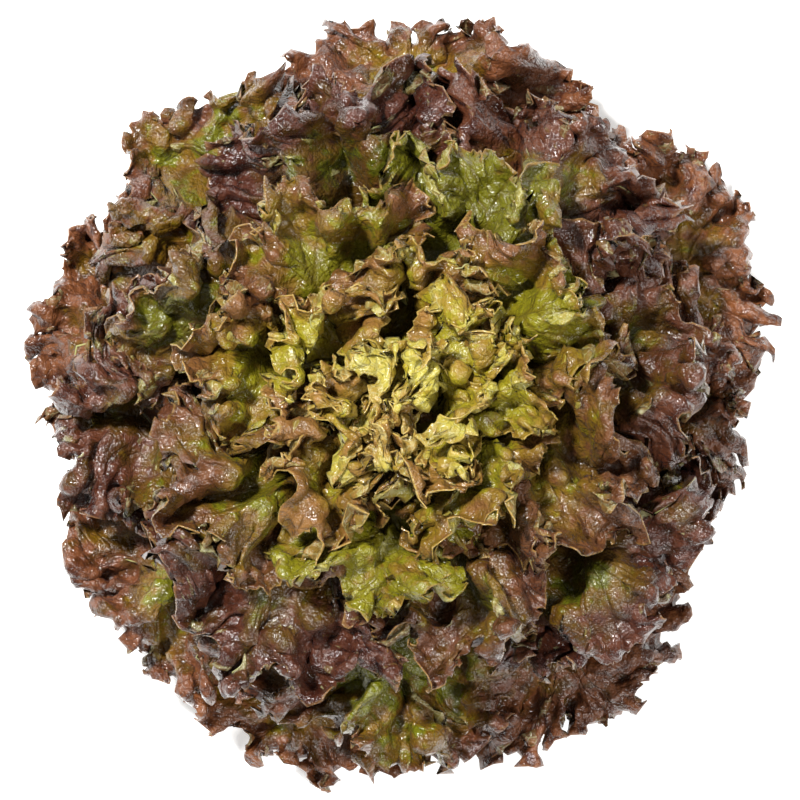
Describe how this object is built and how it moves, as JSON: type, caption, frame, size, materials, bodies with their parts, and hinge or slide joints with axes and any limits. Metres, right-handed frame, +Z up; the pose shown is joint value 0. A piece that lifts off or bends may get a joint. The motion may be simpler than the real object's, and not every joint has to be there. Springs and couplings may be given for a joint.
{
  "type": "red leaf lettuce head",
  "caption": "Whole head of loose-leaf lettuce, as cut, standing on its stem: frilled leaves in a spiral, dark red-brown outside and yellow-green at the heart.",
  "frame": {"origin": "centre of the cut face of the stem, on the surface that the head stands on", "axes": "+Z up along the stem, -Z out of the cut face; X and Y lie in the surface, as the picture's right and top"},
  "size_m": [0.2889, 0.294, 0.1252],
  "materials": {
    "outer_leaf": "fresh leaf, dark red-brown, satin and damp",
    "middle_leaf": "fresh leaf, bronze over olive green, satin and damp",
    "heart_leaf": "young leaf, yellow-green with tan edges, satin and damp",
    "pale_stem": "cut stem, pale green-white, matt"
  },
  "bodies": {
    "root": {"stem": "pale_stem", "outer_leaf_01": "outer_leaf", "outer_leaf_02": "outer_leaf", "outer_leaf_03": "outer_leaf", "outer_leaf_04": "outer_leaf", "outer_leaf_05": "outer_leaf", "outer_leaf_06": "outer_leaf", "outer_leaf_07": "outer_leaf", "outer_leaf_08": "outer_leaf", "outer_leaf_09": "outer_leaf", "outer_leaf_10": "outer_leaf", "outer_leaf_11": "outer_leaf", "outer_leaf_12": "outer_leaf", "outer_leaf_13": "outer_leaf", "outer_leaf_14": "outer_leaf", "middle_leaf_01": "middle_leaf", "middle_leaf_02": "middle_leaf", "middle_leaf_03": "middle_leaf", "middle_leaf_04": "middle_leaf", "middle_leaf_05": "middle_leaf", "middle_leaf_06": "middle_leaf", "middle_leaf_07": "middle_leaf", "middle_leaf_08": "middle_leaf", "middle_leaf_09": "middle_leaf", "middle_leaf_10": "middle_leaf", "middle_leaf_11": "middle_leaf", "middle_leaf_12": "middle_leaf", "heart_leaf_01": "heart_leaf", "heart_leaf_02": "heart_leaf", "heart_leaf_03": "heart_leaf", "heart_leaf_04": "heart_leaf", "heart_leaf_05": "heart_leaf", "heart_leaf_06": "heart_leaf", "heart_leaf_07": "heart_leaf", "heart_leaf_08": "heart_leaf", "heart_leaf_09": "heart_leaf", "heart_leaf_10": "heart_leaf"}
  },
  "joints": []
}
